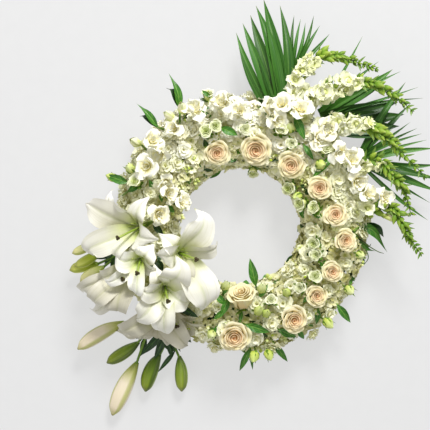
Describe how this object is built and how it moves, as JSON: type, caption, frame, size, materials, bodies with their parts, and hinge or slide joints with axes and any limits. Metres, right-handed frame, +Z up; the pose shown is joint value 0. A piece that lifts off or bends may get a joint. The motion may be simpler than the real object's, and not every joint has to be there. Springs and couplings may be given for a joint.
{
  "type": "funeral wreath",
  "caption": "Open ring wreath of fresh flowers on a foam ring in a shallow tray, with white lilies, cream roses, freesias, snapdragons and palm leaves, lying flat.",
  "frame": {"origin": "under the middle of the whole wreath's box, on the surface that the tray stands on", "axes": "+Z up, out of the flowers' faces; +Y towards the palm leaves, the top of the wreath when it is leant up; +X to the right, seen from above"},
  "size_m": [0.676, 0.764, 0.1908],
  "materials": {
    "lily_petal": "satin",
    "lily_bud": "satin",
    "rose_petal": "matte",
    "freesia_petal": "satin",
    "snapdragon_petal": "matte",
    "lisianthus_petal": "matte",
    "floret_petal": "matte",
    "green_leaf": "satin",
    "palm_leaf": "satin",
    "floral_foam": "matte",
    "tray_plastic": "satin"
  },
  "bodies": {
    "root": {"lily_1": "lily_petal", "lily_2": "lily_petal", "lily_3": "lily_petal", "lily_4": "lily_petal", "lily_5": "lily_petal", "lily_6": "lily_petal", "lily_7": "lily_petal", "lily_buds_left": "lily_bud", "lily_buds_front": "lily_bud", "lily_buds_right": "lily_bud", "rose_1": "rose_petal", "rose_2": "rose_petal", "rose_3": "rose_petal", "rose_4": "rose_petal", "rose_5": "rose_petal", "rose_6": "rose_petal", "rose_7": "rose_petal", "rose_8": "rose_petal", "rose_9": "rose_petal", "rose_10": "rose_petal", "rose_11": "rose_petal", "freesia_1": "freesia_petal", "freesia_2": "freesia_petal", "freesia_3": "freesia_petal", "freesia_4": "freesia_petal", "freesia_5": "freesia_petal", "freesia_6": "freesia_petal", "freesia_7": "freesia_petal", "snapdragon_1": "snapdragon_petal", "snapdragon_2": "snapdragon_petal", "snapdragon_3": "snapdragon_petal", "snapdragon_4": "snapdragon_petal", "snapdragon_5": "snapdragon_petal", "lisianthus_1": "lisianthus_petal", "lisianthus_2": "lisianthus_petal", "lisianthus_3": "lisianthus_petal", "lisianthus_4": "lisianthus_petal", "lisianthus_5": "lisianthus_petal", "lisianthus_6": "lisianthus_petal", "lisianthus_7": "lisianthus_petal", "lisianthus_8": "lisianthus_petal", "lisianthus_9": "lisianthus_petal", "lisianthus_10": "lisianthus_petal", "lisianthus_11": "lisianthus_petal", "long_leaves_upper_left": "green_leaf", "long_leaves_right": "green_leaf", "palm_leaf_1": "palm_leaf", "palm_leaf_2": "palm_leaf", "palm_leaf_3": "palm_leaf", "palm_leaf_4": "palm_leaf", "floret_clump_1": "floret_petal", "floret_clump_2": "floret_petal", "floret_clump_3": "floret_petal", "floret_clump_4": "floret_petal", "floret_clump_5": "floret_petal", "floret_clump_6": "floret_petal", "floret_clump_7": "floret_petal", "floret_clump_8": "floret_petal", "foam_ring": "floral_foam", "tray": "tray_plastic"}
  },
  "joints": []
}
